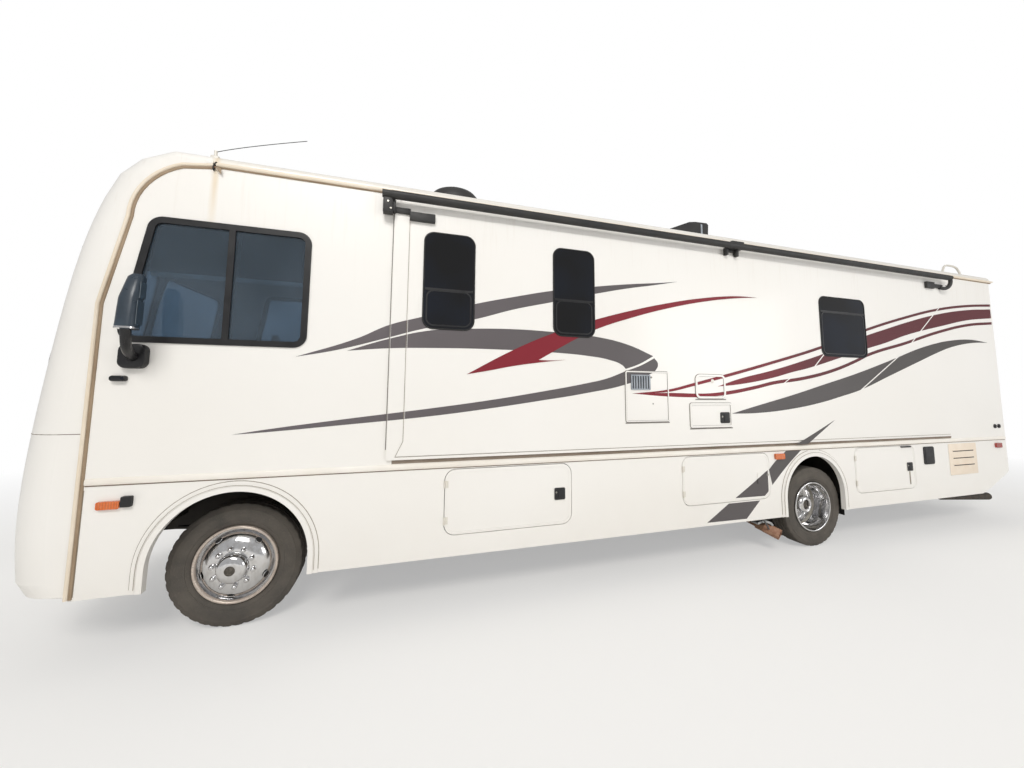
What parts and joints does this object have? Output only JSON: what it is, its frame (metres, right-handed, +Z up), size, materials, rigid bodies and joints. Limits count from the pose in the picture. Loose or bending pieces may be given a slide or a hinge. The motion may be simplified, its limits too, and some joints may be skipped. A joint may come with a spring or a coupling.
{
  "type": "motorhome",
  "caption": "Large integrated motorhome with bus-like front, long slide-out room, luggage doors and twin rear wheels.",
  "frame": {"origin": "on the ground under the middle of the vehicle's overall box", "axes": "+X points forward, +Y to the driver's side (left), +Z up; the wheels stand on Z = 0"},
  "size_m": [11.7062, 3.24, 4.04],
  "materials": {
    "body_white": "glossy gel-coated glass fibre, cream white",
    "roof_plastic": "weathered off-white moulding",
    "ladder_white": "white coated tube",
    "awning_white": "white coated roller and arms",
    "beige_trim": "satin beige moulding",
    "dark_glass": "dark tinted safety glass",
    "frame_black": "satin black",
    "mirror_black": "glossy blue-black",
    "topper_dark": "dark grey, weathered",
    "lamp_lens": "coloured lenses",
    "chassis_black": "black chassis paint",
    "axle_iron": "painted iron with surface rust",
    "engine_iron": "plain iron",
    "exhaust_steel": "rusted tan steel",
    "box_metal": "grey sheet",
    "deck_board": "floor board",
    "seat_fabric": "woven beige",
    "dash_plastic": "grained dark grey",
    "tyre_rubber": "weathered black",
    "wheel_bright": "polished liner"
  },
  "bodies": {
    "coach": {"chassis_frame": "chassis_black", "outriggers": "chassis_black", "axles": "axle_iron", "powertrain": "engine_iron", "exhaust_pipes": "exhaust_steel", "underfloor_boxes": "box_metal", "floor_deck": "deck_board", "left_wall": "body_white", "right_wall": "body_white", "side_skirts": "body_white", "roof_shell": "body_white", "front_cap": "body_white", "rear_cap": "body_white", "windscreen": "dark_glass", "window_frames": "frame_black", "side_windows": "dark_glass", "trim_mouldings": "beige_trim", "lamps": "lamp_lens", "mirrors": "mirror_black", "roof_equipment": "roof_plastic", "ladder": "ladder_white", "cab_seats": "seat_fabric", "dashboard": "dash_plastic", "patio_awning": "awning_white", "hitch_receiver": "chassis_black"},
    "slide_out": {"slide_room": "body_white", "slide_windows": "dark_glass", "slide_topper": "topper_dark"},
    "steer_left": {"knuckle_left": "axle_iron"},
    "steer_right": {"knuckle_right": "axle_iron"},
    "tie_rod": {"tie_rod": "chassis_black"},
    "front_left_wheel": {"tyre_front_left": "tyre_rubber", "wheel_front_left": "wheel_bright"},
    "front_right_wheel": {"tyre_front_right": "tyre_rubber", "wheel_front_right": "wheel_bright"},
    "rear_left_wheels": {"tyres_rear_left": "tyre_rubber", "wheels_rear_left": "wheel_bright"},
    "rear_right_wheels": {"tyres_rear_right": "tyre_rubber", "wheels_rear_right": "wheel_bright"},
    "entry_door": {"entry_door": "body_white"},
    "bay_door_left_front": {"bay_door_left_front": "body_white"},
    "bay_door_left_middle": {"bay_door_left_middle": "body_white"},
    "bay_door_left_rear": {"bay_door_left_rear": "body_white"},
    "bay_door_right_front": {"bay_door_right_front": "body_white"},
    "bay_door_right_rear": {"bay_door_right_rear": "body_white"}
  },
  "joints": [
    {"name": "slide_out_extend", "type": "slide", "parent": "coach", "child": "slide_out", "axis": [0, 1, 0], "range_m": [0, 0.65]},
    {"name": "steer_left_pivot", "type": "hinge", "parent": "coach", "child": "steer_left", "pos_m": [4.427, 0.84, 0.4725], "axis": [0, 0, 1], "range_deg": [-40, 40]},
    {"name": "steer_right_pivot", "type": "hinge", "parent": "coach", "child": "steer_right", "pos_m": [4.427, -0.84, 0.4725], "axis": [0, 0, 1], "range_deg": [-40, 40]},
    {"name": "tie_rod_left_ball", "type": "hinge", "parent": "steer_left", "child": "tie_rod", "pos_m": [4.247, 0.84, 0.3225], "axis": [0, 0, 1], "range_deg": [-40, 40]},
    {"name": "front_left_spin", "type": "hinge", "parent": "steer_left", "child": "front_left_wheel", "pos_m": [4.427, 0.975, 0.4725], "axis": [0, 1, 0], "continuous": true},
    {"name": "front_right_spin", "type": "hinge", "parent": "steer_right", "child": "front_right_wheel", "pos_m": [4.427, -0.975, 0.4725], "axis": [0, 1, 0], "continuous": true},
    {"name": "rear_left_spin", "type": "hinge", "parent": "coach", "child": "rear_left_wheels", "pos_m": [-1.72, 1.095, 0.4725], "axis": [0, 1, 0], "continuous": true},
    {"name": "rear_right_spin", "type": "hinge", "parent": "coach", "child": "rear_right_wheels", "pos_m": [-1.72, -1.095, 0.4725], "axis": [0, 1, 0], "continuous": true},
    {"name": "bay_door_left_front_hinge", "type": "hinge", "parent": "coach", "child": "bay_door_left_front", "pos_m": [2.814, 1.293, 0.9], "axis": [0, 0, -1], "range_deg": [0, 110]},
    {"name": "bay_door_left_middle_hinge", "type": "hinge", "parent": "coach", "child": "bay_door_left_middle", "pos_m": [0.284, 1.293, 0.9], "axis": [0, 0, -1], "range_deg": [0, 110]},
    {"name": "bay_door_left_rear_hinge", "type": "hinge", "parent": "coach", "child": "bay_door_left_rear", "pos_m": [-2.376, 1.293, 0.9], "axis": [0, 0, -1], "range_deg": [0, 110]},
    {"name": "bay_door_right_front_hinge", "type": "hinge", "parent": "coach", "child": "bay_door_right_front", "pos_m": [0.524, -1.293, 0.9], "axis": [0, 0, 1], "range_deg": [0, 110]},
    {"name": "bay_door_right_rear_hinge", "type": "hinge", "parent": "coach", "child": "bay_door_right_rear", "pos_m": [-2.376, -1.293, 0.9], "axis": [0, 0, 1], "range_deg": [0, 110]},
    {"name": "entry_door_hinge", "type": "hinge", "parent": "coach", "child": "entry_door", "pos_m": [3.494, -1.293, 1.6], "axis": [0, 0, 1], "range_deg": [0, 100]}
  ],
  "couplings": [
    {"joint": "steer_right_pivot", "follows": "steer_left_pivot", "ratio": 1},
    {"joint": "tie_rod_left_ball", "follows": "steer_left_pivot", "ratio": -1}
  ]
}
